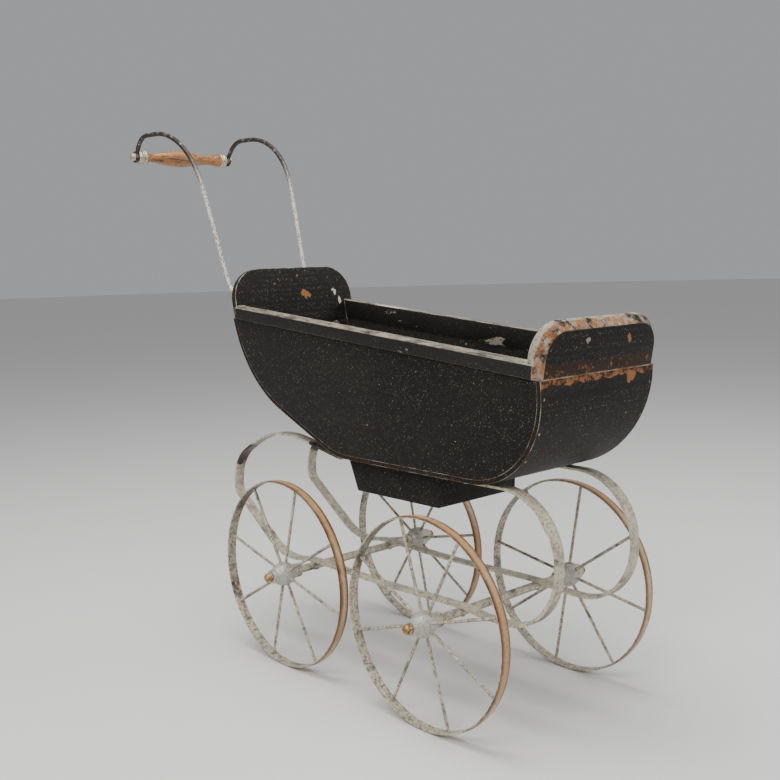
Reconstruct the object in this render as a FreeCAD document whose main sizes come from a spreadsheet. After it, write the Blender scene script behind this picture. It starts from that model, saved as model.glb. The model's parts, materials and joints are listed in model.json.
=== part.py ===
"""Antique wooden doll carriage on C-scroll strap springs, built as a parametric FreeCAD document.

The carriage faces +X: the foot end is at +X and the push handle is at -X.  +Z is up, the wheels stand
on Z = 0, and the left side is +Y.  While the parts are made, X = 0 is midway between the two axles.
At the end the whole model is moved along X so that the origin is the bottom centre of its bounding box.
All sizes are millimetres.
"""
import FreeCAD, Part
import math
import os

import Sketcher

from FreeCAD import Placement, Rotation, Vector

os.makedirs("parts", exist_ok=True)

# ----------------------------------------------------------------------------- driving dimensions

DIMENSIONS = {
    # wheels
    "wheel_radius": 110.0,
    "tyre_width": 12.0,
    "tyre_thickness": 2.2,
    "spoke_radius": 1.7,
    "hub_flange_radius": 13.5,
    "hub_nose_radius": 8.5,
    "hub_inner_length": 15.0,
    "hub_outer_length": 19.0,
    "hub_half_flange": 5.0,
    # axles
    "axle_radius": 4.5,
    "journal_radius": 3.5,
    "running_clearance": 0.05,
    "end_float": 0.5,
    "collar_radius": 8.0,
    "collar_length": 6.0,
    "axle_nut_radius": 5.6,
    "axle_nut_length": 8.0,
    "wheel_gap": 22.0,
    "front_track": 228.0,
    "rear_track": 214.0,
    # strap springs
    "strap_width": 12.5,
    "strap_thickness": 2.6,
    "strap_inset": 13.35,
    "rear_scroll_overhang": 156.0,
    "front_scroll_overhang": 128.0,
    "rear_seat_tilt": 11.3,
    "front_scroll_inset": 133.0,
    "strap_dip": 3.5,
    "strap_sag": 2.0,
    "strap_flat": 17.0,
    "strap_step_inner": 13.0,
    "strap_step_outer": 31.0,
    "strap_step_radius": 40.0,
    "strap_flat_radius": 150.0,
    "strap_sag_radius": 600.0,
    "hole_clearance": 0.2,
    "rivet_radius": 2.0,
    "rivet_head_radius": 4.2,
    "rivet_head_height": 1.4,
    # body shell
    "body_rear": 232.0,
    "body_front": 251.0,
    "body_width": 182.0,
    "belly_height": 250.0,
    "belly_thickness": 5.0,
    "belly_break": 62.0,
    "belly_rise": 25.6,
    "end_lean": 10.0,
    "side_flare": 6.5,
    "rear_curve": 128.0,
    "break_curve": 100.0,
    "front_curve": 103.0,
    "panel_thickness": 8.0,
    "rail_base_height": 383.5,
    "rail_slope": 5.2,
    "rail_width": 12.5,
    "rail_depth": 15.5,
    "rail_chamfer": 2.8,
    "rail_stop": 8.0,
    "rail_skirt": 9.0,
    "rail_skirt_thickness": 1.5,
    "rail_overhang": 3.0,
    # end boards
    "board_thickness": 15.0,
    "board_chamfer": 7.5,
    "head_board_rise": 41.0,
    "foot_board_rise": 36.0,
    "head_corner": 38.0,
    "foot_corner": 33.0,
    "board_drop": 38.0,
    # well under the floor
    "well_rear": 54.0,
    "well_front": 92.0,
    "well_inset": 12.85,
    "well_depth": 37.0,
    "well_wall": 5.0,
    "well_rear_set": 15.0,
    "well_front_set": 2.0,
    # cleat, packing blocks and screws that hold the springs to the body
    "block_length": 40.0,
    "block_width": 16.0,
    "block_toe": 1.3,
    "cleat_length": 24.0,
    "cleat_height": 11.0,
    "screw_radius": 2.0,
    "screw_length": 11.0,
    "bolt_radius": 2.0,
    "bolt_head_radius": 4.5,
    "bolt_head_height": 2.4,
    "nut_radius": 4.6,
    "nut_height": 3.0,
    # handle
    "iron_radius": 3.0,
    "handle_inset": 17.0,
    "grip_reach": 240.0,
    "grip_height": 617.0,
    "arch_rise": 26.0,
    "iron_splay": 4.1,
    "iron_kick_back": 45.0,
    "iron_kick_rise": 36.0,
    "iron_low_radius": 20.0,
    "iron_kick_radius": 40.0,
    "iron_arch_radius": 105.0,
    "iron_crown_radius": 33.0,
    "iron_arch_run": 135.0,
    "iron_crown_run": 20.0,
    "iron_foot_width": 13.0,
    "iron_foot_length": 36.0,
    "iron_foot_thickness": 3.2,
    "eye_radius": 7.5,
    "eye_thickness": 4.0,
    "grip_rod_radius": 2.5,
    "grip_wood_radius": 11.0,
    "grip_neck_radius": 5.8,
    "ferrule_radius": 9.8,
    "ferrule_length": 12.0,
    "knob_radius": 5.6,
    "knob_length": 6.5,
    # tacks along the belly edges
    "tack_radius": 1.7,
    "tack_height": 0.7,
    "tack_pitch": 34.0,
}

# proportions: REAR_SCROLL holds shares of the tall C's rise, the others shares of their piece's length
SPOKES_PER_WHEEL = 8
SPOKE_PHASES = {"front_right": 17.0, "rear_right": 30.0, "front_left": 35.0, "rear_left": 12.0}
REAR_SCROLL = {"crown_run": 0.66, "crown_radius": 1.1, "back_height": 0.80, "back_radius": 0.40,
               "heel_height": 0.49, "heel_radius": 0.13, "sweep_run": 0.674, "sweep_radius": 0.52}
IRON_START_SHARE = 0.36
BOLT_SHARES = (0.54, 0.83)
THREAD_SHARE = 0.7
WELL_RISE = 20.0
BORE_MARGIN = 3.0

document = FreeCAD.newDocument("doll_carriage")
sheet = document.addObject("Spreadsheet::Sheet", "Dimensions")
for row, (alias, value) in enumerate(DIMENSIONS.items(), start=1):
    sheet.set(f"A{row}", alias)
    sheet.set(f"B{row}", str(value))
    sheet.setAlias(f"B{row}", alias)
document.recompute()

X_AXIS, Y_AXIS, Z_AXIS = Vector(1, 0, 0), Vector(0, 1, 0), Vector(0, 0, 1)
SIDES = {"left": 1, "right": -1}
ENDS = {"front": 1, "rear": -1}

sub_parts = []


def size(alias):
    """The value of one cell of the sheet."""
    return float(sheet.get(alias))


# ----------------------------------------------------------------------------- building helpers

def keep(thing, label):
    """Names a finished sub-part and puts it on the list that is written out."""
    thing.Label = label
    sub_parts.append(thing)
    return thing


def keep_shape(shape, label):
    """Makes a sub-part from a shape that Part's own functions built."""
    feature = document.addObject("Part::Feature", label)
    feature.Shape = shape
    return keep(feature, label)


def origin_plane(body, role):
    """One of a body's own origin planes."""
    return next(plane for plane in body.Origin.OriginFeatures if plane.Role == role)


def sketch_outline(body, role, corners):
    """Draws a closed outline whose corner coordinates are expressions of the sheet's cells."""
    sketch = body.newObject("Sketcher::SketchObject", "Outline")
    sketch.AttachmentSupport = [(origin_plane(body, role), "")]
    sketch.MapMode = "FlatFace"
    count = len(corners)
    guess = [Vector(40 + 30 * math.cos(2 * math.pi * i / count), 40 + 30 * math.sin(2 * math.pi * i / count), 0)
             for i in range(count)]
    for i in range(count):
        sketch.addGeometry(Part.LineSegment(guess[i], guess[(i + 1) % count]), False)
    for i in range(count):
        sketch.addConstraint(Sketcher.Constraint("Coincident", i, 2, (i + 1) % count, 1))
    for i, corner in enumerate(corners):
        for kind, expression in zip(("DistanceX", "DistanceY"), corner):
            if expression == "0":
                lock = Sketcher.Constraint("PointOnObject", i, 1, -2 if kind == "DistanceX" else -1)
                sketch.addConstraint(lock)
            else:
                index = sketch.addConstraint(Sketcher.Constraint(kind, -1, 1, i, 1, 10.0))
                sketch.setExpression(f"Constraints[{index}]", expression)
    return sketch


def cells(expression):
    """Turns [name] in an expression into the sheet's cell of that name."""
    return expression.replace("[", "Dimensions.").replace("]", "")


def turned(label, corners):
    """A body of revolution about its own Y axis: corners are (radius, distance along Y)."""
    body = document.addObject("PartDesign::Body", label)
    outline = sketch_outline(body, "XY_Plane", [(cells(r), cells(y)) for r, y in corners])
    document.recompute()
    turning = body.newObject("PartDesign::Revolution", "Turning")
    turning.Profile = outline
    turning.ReferenceAxis = (outline, ["V_Axis"])
    turning.Angle = 360.0
    document.recompute()
    return keep(body, label)


def padded(label, role, corners, length):
    """A flat outline on one of the body's planes, padded by an expression."""
    body = document.addObject("PartDesign::Body", label)
    outline = sketch_outline(body, role, [(cells(u), cells(v)) for u, v in corners])
    document.recompute()
    pad = body.newObject("PartDesign::Pad", "Pad")
    pad.Profile = outline
    pad.setExpression("Length", cells(length))
    document.recompute()
    return body


def place(thing, base, rotation=None):
    """Places a sub-part."""
    thing.Placement = Placement(base, rotation or Rotation())
    return thing


def outward(side):
    """Turns a sub-part that was made pointing to +Y so that it points outward on that side."""
    return Rotation() if side > 0 else Rotation(Z_AXIS, 180)


def rod(radius, start, end):
    """A straight round bar between two points."""
    run = end - start
    return Part.makeCylinder(radius, run.Length, start, run)


def corner_arc(before, corner, after, radius):
    """Start, middle and end of the arc that rounds one corner of a path, as (x, z) vectors."""
    back = (before - corner).normalize()
    ahead = (after - corner).normalize()
    half = back.getAngle(ahead) / 2
    middle_line = (back + ahead).normalize()
    centre = corner + middle_line * (radius / math.sin(half))
    reach = radius / math.tan(half)
    return corner + back * reach, centre - middle_line * radius, corner + ahead * reach


def rounded_path(points, radii, closed=False):
    """A wire in the XZ plane through points, whose corners are rounded to the radii given (0 is sharp)."""
    knots = [Vector(x, 0, z) for x, z in points]
    count = len(knots)
    stops, edges = [], []
    for i, (knot, radius) in enumerate(zip(knots, radii)):
        if radius > 0:
            stops.append(corner_arc(knots[i - 1], knot, knots[(i + 1) % count], radius))
        else:
            stops.append((knot, None, knot))
    for i in range(count if closed else count - 1):
        leave, arrive = stops[i][2], stops[(i + 1) % count][0]
        if (arrive - leave).Length > 1e-6:
            edges.append(Part.LineSegment(leave, arrive).toShape())
        first, middle, last = stops[(i + 1) % count]
        if middle is not None:
            edges.append(Part.Arc(first, middle, last).toShape())
    return Part.Wire(Part.__sortEdges__(edges))


def shifted_path(points, radii, distance):
    """The same path moved to its left by a distance: corners are mitred and radii follow."""
    knots = [Vector(x, 0, z) for x, z in points]
    normals = []
    for start, end in zip(knots, knots[1:]):
        run = (end - start).normalize()
        normals.append(Vector(-run.z, 0, run.x))
    moved, new_radii = [], []
    for i, (knot, radius) in enumerate(zip(knots, radii)):
        first, last = normals[max(i - 1, 0)], normals[min(i, len(normals) - 1)]
        mitre = (first + last) / (1 + first.dot(last))
        spot = knot + mitre * distance
        moved.append((spot.x, spot.z))
        bend = first.x * last.z - first.z * last.x
        new_radii.append(radius - math.copysign(distance, bend) if radius > 0 else 0)
    return moved, new_radii


def prism(wire, low_y, high_y):
    """A closed wire of the XZ plane made solid between two Y values."""
    face = Part.Face(wire)
    face.translate(Vector(0, low_y, 0))
    return face.extrude(Vector(0, high_y - low_y, 0))


def polygon_prism(points, low_y, high_y):
    """A straight-sided outline of the XZ plane made solid between two Y values."""
    return prism(rounded_path(points, [0] * len(points), closed=True), low_y, high_y)


# ----------------------------------------------------------------------------- shared positions

HALF_BASE = size("wheel_radius") + size("wheel_gap") / 2
AXLE_X = {"front": HALF_BASE, "rear": -HALF_BASE}
TRACK = {"front": size("front_track"), "rear": size("rear_track")}
STRAP_ON_AXLE = size("wheel_radius") + size("axle_radius") + size("strap_thickness") / 2
PANEL_OUTER = size("body_width") / 2 - size("rail_overhang")
PANEL_INNER = PANEL_OUTER - size("panel_thickness")
RAIL_FALL = math.tan(math.radians(size("rail_slope")))
LEAN = math.tan(math.radians(size("end_lean")))
FLARE = math.tan(math.radians(size("side_flare")))
FAR = 1000.0


def rail_line(x):
    """Height of the underside of the rails at x."""
    return size("rail_base_height") - RAIL_FALL * x


def tub_half_width(half_width, x, z):
    """Half width at one place inside sides that lean in from a half width at the rails."""
    return half_width - FLARE * (rail_line(x) - z) * math.cos(math.radians(size("rail_slope")))


BELLY_HALF_WIDTH = tub_half_width(PANEL_OUTER, 0, size("belly_height"))
STRAP_Y = BELLY_HALF_WIDTH - size("strap_inset")
WELL_HALF_WIDTH = BELLY_HALF_WIDTH - size("well_inset")
HANDLE_Y = size("body_width") / 2 - size("handle_inset")
GRIP = Vector(-size("body_rear") - size("grip_reach"), 0, size("grip_height"))
IRON_SPLAY = math.tan(math.radians(size("iron_splay")))
REAR_SEAT_X = -size("belly_break")
FRONT_SEAT_X = size("body_front") - size("front_scroll_inset")
REAR_SEAT_HEIGHT = size("belly_height") - size("block_toe") - size("strap_thickness") / 2
SEAT_TILT = math.radians(size("rear_seat_tilt"))
SEAT_UP = Vector(math.sin(SEAT_TILT), 0, math.cos(SEAT_TILT))


def rear_seat_line(x):
    """Height at x of the middle of the strap where it lies against its packing block."""
    return REAR_SEAT_HEIGHT + (REAR_SEAT_X - x) * math.tan(SEAT_TILT)


def belly_path():
    """The outside of the belly from the rear rim, under the body, to the front rim, with its radii."""
    rear, front = -size("body_rear"), size("body_front")
    low, flat = size("belly_height"), -size("belly_break")
    rise = math.tan(math.radians(size("belly_rise")))
    rear_top = rail_line(rear)
    knuckle_z = (low + rise * (flat - rear - LEAN * rear_top)) / (1 - rise * LEAN)
    knuckle_x = rear + LEAN * (rear_top - knuckle_z)
    points = [(rear, rear_top), (knuckle_x, knuckle_z), (flat, low), (front, low), (front, rail_line(front))]
    radii = [0, size("rear_curve"), size("break_curve"), size("front_curve"), 0]
    return points, radii


def belly_solid(inset, lift=0.0, half_width=None):
    """The space inside the belly line, moved in by an inset and raised past the rails by a lift."""
    points, radii = shifted_path(*belly_path(), inset)
    (rear_x, rear_z), (front_x, front_z) = points[0], points[-1]
    points[0] = (rear_x - LEAN * lift, rear_z + lift)
    points[-1] = (front_x, front_z + lift)
    width = half_width or PANEL_OUTER
    return prism(rounded_path(points, radii, closed=True), -width, width)


# ----------------------------------------------------------------------------- body shell

def tub_space(half_width):
    """The tapering space under the rails whose sides lean in from a half width at the rails."""
    deep = 400.0
    low_half = half_width - FLARE * deep
    corners = [(-half_width, 0), (half_width, 0), (low_half, -deep), (-low_half, -deep)]
    ring = Part.makePolygon([Vector(-FAR, y, z) for y, z in corners + corners[:1]])
    space = Part.Face(ring).extrude(Vector(2 * FAR, 0, 0))
    space.rotate(Vector(), Y_AXIS, size("rail_slope"))
    space.translate(Vector(0, 0, size("rail_base_height")))
    return space


def side_panel(name, side):
    """A flat side with the boat-shaped lower edge, leaning out to its rail and rebated for the rail's skirt."""
    shape = belly_solid(size("belly_thickness")).common(tub_space(PANEL_OUTER)).cut(tub_space(PANEL_INNER))
    half_space = Part.makeBox(2 * FAR, FAR, FAR, Vector(-FAR, 0 if side > 0 else -FAR, 0))
    return keep_shape(without_rails(shape.common(half_space)), f"side_panel_{name}")


def under_rails():
    """Everything below the rails' underside."""
    outline = [(-FAR, 0), (FAR, 0), (FAR, rail_line(FAR)), (-FAR, rail_line(-FAR))]
    return polygon_prism(outline, -FAR, FAR)


def rail(name, side):
    """The batten on a side panel: its outer top edge is chamfered and a thin skirt hangs inside the panel.

    Both ends stop inside notches in the end boards."""
    body = padded(f"rail_{name}", "YZ_Plane", [
        ("0", "-[rail_skirt]"), ("[rail_skirt_thickness]", "-[rail_skirt]"), ("[rail_skirt_thickness]", "0"),
        ("[rail_width]", "0"), ("[rail_width]", "[rail_depth] - [rail_chamfer]"),
        ("[rail_width] - [rail_chamfer]", "[rail_depth]"), ("0", "[rail_depth]")],
        "([body_rear] + [body_front] - 2 * [rail_stop]) / cos([rail_slope] * 1deg)")
    slope = Rotation(Y_AXIS, size("rail_slope"))
    inner = side * (size("body_width") / 2 - size("rail_width"))
    start = -size("body_rear") + size("rail_stop")
    if side < 0:
        start = size("body_front") - size("rail_stop")
        slope = slope.multiply(Rotation(Z_AXIS, 180))
    place(body, Vector(start, inner, rail_line(start)), slope)
    return keep(body, f"rail_{name}")


def without_rails(shape):
    """The shape with both rails cut out of it."""
    for piece in sub_parts:
        if piece.Label.startswith("rail_"):
            shape = shape.cut(piece.Shape)
    return shape


def board_blank(end, corner, rise):
    """An end board before it is scribed: a leaning plank with two rounded top corners."""
    thickness = size("board_thickness")
    half = size("body_width") / 2
    edge_x = -size("body_rear") if end < 0 else size("body_front")
    base = rail_line(edge_x) - size("board_drop")
    top = rail_line(edge_x) + size("rail_depth") + rise
    outline = [(-half, base), (half, base), (half, top), (-half, top)]
    knots = rounded_path(outline, [0, 0, corner, corner], closed=True)
    face = Part.Face(knots)
    face.rotate(Vector(), Z_AXIS, 90)
    blank = face.extrude(Vector(-end * thickness, 0, 0))
    outer_rim = [edge for edge in blank.Edges if abs(edge.BoundBox.XMin) + abs(edge.BoundBox.XMax) < 1e-6
                 and edge.BoundBox.ZMax > base + 1]
    blank = blank.makeChamfer(size("board_chamfer"), outer_rim)
    blank.rotate(Vector(0, 0, rail_line(edge_x)), Y_AXIS, end * size("end_lean"))
    blank.translate(Vector(edge_x, 0, 0))
    return blank


def end_board(name, end, corner, rise):
    """A head or foot board: its shoulders are scribed over the rails and it fits between the panels."""
    blank = board_blank(end, corner, rise)
    shape = blank.cut(under_rails()).fuse(blank.common(tub_space(PANEL_INNER))).removeSplitter()
    shape = shape.cut(belly_solid(0).cut(belly_solid(size("belly_thickness"), lift=size("board_drop"))))
    return keep_shape(drilled(largest(without_rails(shape))), name)


def largest(shape):
    """The biggest solid of a shape."""
    return max(shape.Solids, key=lambda solid: solid.Volume)


def belly_sections():
    """The bent belly sheet in three pieces: rear curve, floor with the well's mouth, front curve."""
    sheet_thickness = size("belly_thickness")
    skin = belly_solid(0).cut(belly_solid(sheet_thickness, lift=size("rail_depth"), half_width=PANEL_OUTER + 5))
    skin = skin.common(tub_space(PANEL_OUTER))
    wall = size("well_wall")
    rear_joint = -size("well_rear") - 3 * wall
    front_joint = size("well_front") + 3 * wall
    mouth_rear, mouth_front = -size("well_rear") + wall, size("well_front") - wall
    mouth_half = WELL_HALF_WIDTH - wall
    mouth = Part.makeBox(mouth_front - mouth_rear, 2 * mouth_half, 200,
                         Vector(mouth_rear, -mouth_half, size("belly_height") - 100))
    spans = {"belly_rear": (-1000, rear_joint), "belly_floor": (rear_joint, front_joint),
             "belly_front": (front_joint, 1000)}
    for label, (start, end) in spans.items():
        slab = Part.makeBox(end - start, 1000, 2000, Vector(start, -500, 0))
        piece = skin.common(slab)
        if label == "belly_floor":
            piece = piece.cut(mouth)
        keep_shape(drilled(piece), label)


# ----------------------------------------------------------------------------- well

def well():
    """The open-topped box under the floor: two sides, a sloping rear, a front and a floor."""
    wall, depth = size("well_wall"), size("well_depth")
    rear, front = -size("well_rear"), size("well_front")
    top, bottom = size("belly_height"), size("belly_height") - depth
    rear_low, front_low = rear + size("well_rear_set"), front - size("well_front_set")
    half = WELL_HALF_WIDTH
    inner = half - wall
    rear_set, front_set = size("well_rear_set") / depth, size("well_front_set") / depth
    rear_top, front_top = rear - rear_set * WELL_RISE, front + front_set * WELL_RISE
    above = top + WELL_RISE
    outline = [(rear_low, bottom), (front_low, bottom), (front_top, above), (rear_top, above)]
    below_belly = Part.makeBox(2 * FAR, 2 * FAR, 2 * FAR, Vector(-FAR, -FAR, 0))
    below_belly = below_belly.cut(belly_solid(0, half_width=FAR / 2))
    for name, side in SIDES.items():
        low, high = sorted((side * (half - wall), side * half))
        keep_shape(largest(polygon_prism(outline, low, high).common(below_belly)), f"well_side_{name}")
    over_floor = bottom + wall
    rear_seat, front_seat = rear_low - rear_set * wall, front_low + front_set * wall
    floor = [(rear_low + wall, bottom), (front_low - wall, bottom), (front_seat - wall, over_floor),
             (rear_seat + wall, over_floor)]
    keep_shape(polygon_prism(floor, -inner, inner), "well_floor")
    rear_board = [(rear_low, bottom), (rear_low + wall, bottom), (rear_top + wall, above), (rear_top, above)]
    front_board = [(front_low, bottom), (front_low - wall, bottom), (front_top - wall, above),
                   (front_top, above)]
    for name, outline in {"well_rear": rear_board, "well_front": front_board}.items():
        keep_shape(largest(polygon_prism(outline, -inner, inner).common(below_belly)), name)


# ----------------------------------------------------------------------------- springs

STRAP_RUN = STRAP_ON_AXLE - size("strap_dip")
FRONT_END_HEIGHT = size("belly_height") - size("strap_thickness") / 2


def strap_path():
    """Centre line of a strap: rear scroll, the run over both axles, front scroll."""
    stations = rear_scroll() + axle_seats() + front_scroll()
    return [(x, z) for x, z, _ in stations], [radius for _, _, radius in stations]


def rear_scroll():
    """Corners (x, z, radius) of the tall C at the rear, from its flat end down to the run."""
    rear = -(HALF_BASE + size("rear_scroll_overhang"))
    rise = REAR_SEAT_HEIGHT - STRAP_RUN
    shares = {name: share * rise for name, share in REAR_SCROLL.items()}
    return [
        (REAR_SEAT_X, REAR_SEAT_HEIGHT, 0),
        (rear + shares["crown_run"], rear_seat_line(rear + shares["crown_run"]), shares["crown_radius"]),
        (rear, STRAP_RUN + shares["back_height"], shares["back_radius"]),
        (rear, STRAP_RUN + shares["heel_height"], shares["heel_radius"]),
        (rear + shares["sweep_run"], STRAP_RUN, shares["sweep_radius"])]


def axle_seats():
    """Corners of the run: a short flat step up over each axle and a slight sag between them."""
    seat, step = STRAP_ON_AXLE, size("strap_step_radius")
    outer, inner = HALF_BASE + size("strap_step_outer"), HALF_BASE + size("strap_step_inner")
    flat, flat_radius = HALF_BASE - size("strap_flat"), size("strap_flat_radius")
    return [(-outer, STRAP_RUN, step), (-inner, seat, step), (-flat, seat, flat_radius),
            (0, seat - size("strap_sag"), size("strap_sag_radius")),
            (flat, seat, flat_radius), (inner, seat, step), (outer, STRAP_RUN, step)]


def front_scroll():
    """Corners of the smaller C at the front, up to its flat end under the belly."""
    front = HALF_BASE + size("front_scroll_overhang")
    radius = (FRONT_END_HEIGHT - STRAP_RUN) / 2 * 0.99
    return [(front, STRAP_RUN, radius), (front, FRONT_END_HEIGHT, radius),
            (FRONT_SEAT_X, FRONT_END_HEIGHT, 0)]


def strap(name, side):
    """One continuous flat spring strap, drilled for its rivets and screws."""
    half = size("strap_thickness") / 2
    points, radii = strap_path()
    faces = [rounded_path(*shifted_path(points, radii, offset)) for offset in (half, -half)]
    ends = []
    for station in (0, -1):
        corners = [shifted_path(points, radii, offset)[0][station] for offset in (half, -half)]
        ends.append(Part.LineSegment(*[Vector(x, 0, z) for x, z in corners]).toShape())
    outline = Part.Wire(Part.__sortEdges__(faces[0].Edges + faces[1].Edges + ends))
    middle = side * STRAP_Y
    solid = prism(outline, middle - size("strap_width") / 2, middle + size("strap_width") / 2)
    keep_shape(drilled(solid), f"spring_strap_{name}")


def spring_mounts():
    """The wedge blocks over the rear strap ends and the cleat inside the body over the front ends."""
    rear = REAR_SEAT_X - size("block_length")
    over_strap = size("strap_thickness") / 2 / math.cos(SEAT_TILT)
    half = size("block_width") / 2
    outline = [(rear, rear_seat_line(rear) + over_strap), (REAR_SEAT_X, REAR_SEAT_HEIGHT + over_strap),
               (REAR_SEAT_X, FAR), (rear, FAR)]
    for name, side in SIDES.items():
        blank = polygon_prism(outline, side * STRAP_Y - half, side * STRAP_Y + half)
        pieces = blank.cut(belly_solid(0, half_width=FAR / 2)).Solids
        wedge = min(pieces, key=lambda piece: piece.CenterOfMass.z)
        keep_shape(drilled(wedge), f"packing_block_{name}")
    cleat = Part.makeBox(size("cleat_length"), 2 * PANEL_INNER, size("cleat_height"),
                         Vector(FRONT_SEAT_X, -PANEL_INNER, size("belly_height") + size("belly_thickness")))
    keep_shape(drilled(cleat.common(tub_space(PANEL_INNER))), "front_cleat")


def screw_seats():
    """Foot and direction of each spring screw: the underside of a strap end, front and rear on both sides."""
    half = size("strap_thickness") / 2
    rear_x = REAR_SEAT_X - size("block_length") / 2
    front_x = FRONT_SEAT_X + size("cleat_length") / 2
    for side in SIDES.values():
        yield Vector(rear_x, side * STRAP_Y, rear_seat_line(rear_x)) - SEAT_UP * half, SEAT_UP
        yield Vector(front_x, side * STRAP_Y, FRONT_END_HEIGHT - half), Z_AXIS


def rivet_seats(end):
    """Top of the strap over one axle, on both sides."""
    for side in SIDES.values():
        yield Vector(AXLE_X[end], side * STRAP_Y, STRAP_ON_AXLE + size("strap_thickness") / 2)


def handle_bolt_seats():
    """Outer face of each handle foot at its bolts, with the direction into the body."""
    lean = math.radians(size("end_lean"))
    down = Vector(math.sin(lean), 0, -math.cos(lean))
    inward = Vector(math.cos(lean), 0, math.sin(lean))
    rim = Vector(-size("body_rear"), 0, rail_line(-size("body_rear")))
    for side in SIDES.values():
        for share in BOLT_SHARES:
            spot = rim + down * (size("iron_foot_length") * share) - inward * size("iron_foot_thickness")
            yield Vector(spot.x, side * (HANDLE_Y - foot_set()), spot.z), inward


def foot_set():
    """How far a handle foot lies inward of the eye at the other end of its splayed iron."""
    rim_z = rail_line(-size("body_rear"))
    return IRON_SPLAY * (GRIP.z - rim_z + IRON_START_SHARE * size("iron_foot_length"))


def rivet_length():
    """From the top of a strap to the underside of its axle."""
    return size("strap_thickness") + 2 * size("axle_radius")


def bolt_length():
    """Through a handle foot and the head board, whose rebate holds the belly sheet."""
    return size("iron_foot_thickness") + size("board_thickness")


def drilled(shape):
    """A shape with a clearance hole for each screw, rivet and bolt that passes through it."""
    gap = size("hole_clearance")
    screw_hole = size("screw_length") + BORE_MARGIN
    for seat, up in screw_seats():
        shape = shape.cut(Part.makeCylinder(size("screw_radius") + gap, screw_hole, seat, up))
    for end in ENDS:
        for seat in rivet_seats(end):
            shape = shape.cut(Part.makeCylinder(size("rivet_radius") + gap, rivet_length(), seat, -Z_AXIS))
    for seat, inward in handle_bolt_seats():
        shape = shape.cut(Part.makeCylinder(size("bolt_radius") + gap, bolt_length(), seat, inward))
    return shape


def domed_head(radius, height, seat, outward_axis):
    """A low domed head whose flat side lies on its seat."""
    ball_radius = (radius ** 2 + height ** 2) / (2 * height)
    ball = Part.makeSphere(ball_radius, seat - outward_axis * (ball_radius - height))
    slab = Part.makeCylinder(radius * 1.5, height * 2, seat, outward_axis)
    return ball.common(slab)


def fasteners():
    """Spring screws, axle rivets and handle bolts, each kind as a group of separate solids."""
    screws = []
    for seat, up in screw_seats():
        head = domed_head(size("bolt_head_radius"), size("bolt_head_height"), seat, up * -1)
        shank = Part.makeCylinder(size("screw_radius"), size("screw_length"), seat, up)
        screws.append(head.fuse(shank))
    keep_shape(Part.makeCompound(screws), "spring_screws")
    for end in ENDS:
        rivets = []
        for seat in rivet_seats(end):
            shank = Part.makeCylinder(size("rivet_radius"), rivet_length(), seat, -Z_AXIS)
            head = domed_head(size("rivet_head_radius"), size("rivet_head_height"), seat, Z_AXIS)
            tail_seat = seat - Z_AXIS * rivet_length()
            tail = domed_head(size("rivet_head_radius") - 1, size("rivet_head_height"), tail_seat, -Z_AXIS)
            rivets.append(shank.fuse([head, tail]).removeSplitter())
        keep_shape(Part.makeCompound(rivets), f"axle_rivets_{end}")
    bolts, nuts = [], []
    for seat, inward in handle_bolt_seats():
        head = domed_head(size("bolt_head_radius"), size("bolt_head_height"), seat, inward * -1)
        shank = Part.makeCylinder(size("bolt_radius"), bolt_length() + size("nut_height"), seat, inward)
        bolts.append(head.fuse(shank))
        nut_seat = seat + inward * bolt_length()
        nut = Part.makeCylinder(size("nut_radius"), size("nut_height"), nut_seat, inward)
        nuts.append(nut.cut(Part.makeCylinder(size("bolt_radius"), size("nut_height"), nut_seat, inward)))
    keep_shape(Part.makeCompound(bolts), "handle_bolts")
    keep_shape(Part.makeCompound(nuts), "handle_nuts")


def belly_tacks():
    """Domed tack heads along both edges of the bent belly, except where a packing block sits."""
    edge = rounded_path(*belly_path())
    blocks = [piece.Shape for piece in sub_parts if piece.Label.startswith("packing_block_")]
    inset = size("panel_thickness") / 2
    pitch = size("tack_pitch")
    count = int(edge.Length / pitch)
    heads = []
    spots = edge.discretize(Number=count * 4 + 1)
    for i in range(2, len(spots) - 2, 4):
        along = (spots[i + 1] - spots[i - 1]).normalize()
        away = Vector(along.z, 0, -along.x)
        if away.dot(spots[i] - Vector(0, 0, size("rail_base_height"))) < 0:
            away = away * -1
        for side in SIDES.values():
            reach = tub_half_width(PANEL_OUTER, spots[i].x, spots[i].z) - inset
            seat = spots[i] + Y_AXIS * side * reach
            head = domed_head(size("tack_radius"), size("tack_height"), seat, away)
            if all(head.distToShape(block)[0] > 1 for block in blocks):
                heads.append(head)
    keep_shape(Part.makeCompound(heads), "belly_tacks")


# ----------------------------------------------------------------------------- axles and wheels

def axle(end):
    """A thick round axle with a thinner journal at each end for its hub and nut."""
    blank = turned(f"axle_blank_{end}", axle_corners(end))
    place(blank, Vector(AXLE_X[end], -axle_reach(end), size("wheel_radius")))
    sub_parts.remove(blank)
    document.recompute()
    keep_shape(drilled(blank.Shape.copy()), f"axle_{end}")


def axle_reach(end):
    """Half the length of an axle, to the end of the thread inside its nut."""
    return (TRACK[end] / 2 + size("hub_outer_length") + size("end_float")
            + size("axle_nut_length") * THREAD_SHARE)


def axle_corners(end):
    """Radius and distance along a whole axle, from one end to the other."""
    reach = f"([{end}_track] / 2 + [hub_outer_length] + [end_float] + [axle_nut_length] * {THREAD_SHARE})"
    shoulder = f"([{end}_track] / 2 - [hub_inner_length] - [end_float])"
    return [("0", "0"), ("[journal_radius]", "0"), ("[journal_radius]", f"{reach} - {shoulder}"),
            ("[axle_radius]", f"{reach} - {shoulder}"), ("[axle_radius]", f"{reach} + {shoulder}"),
            ("[journal_radius]", f"{reach} + {shoulder}"), ("[journal_radius]", f"2 * {reach}"),
            ("0", f"2 * {reach}")]


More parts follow.
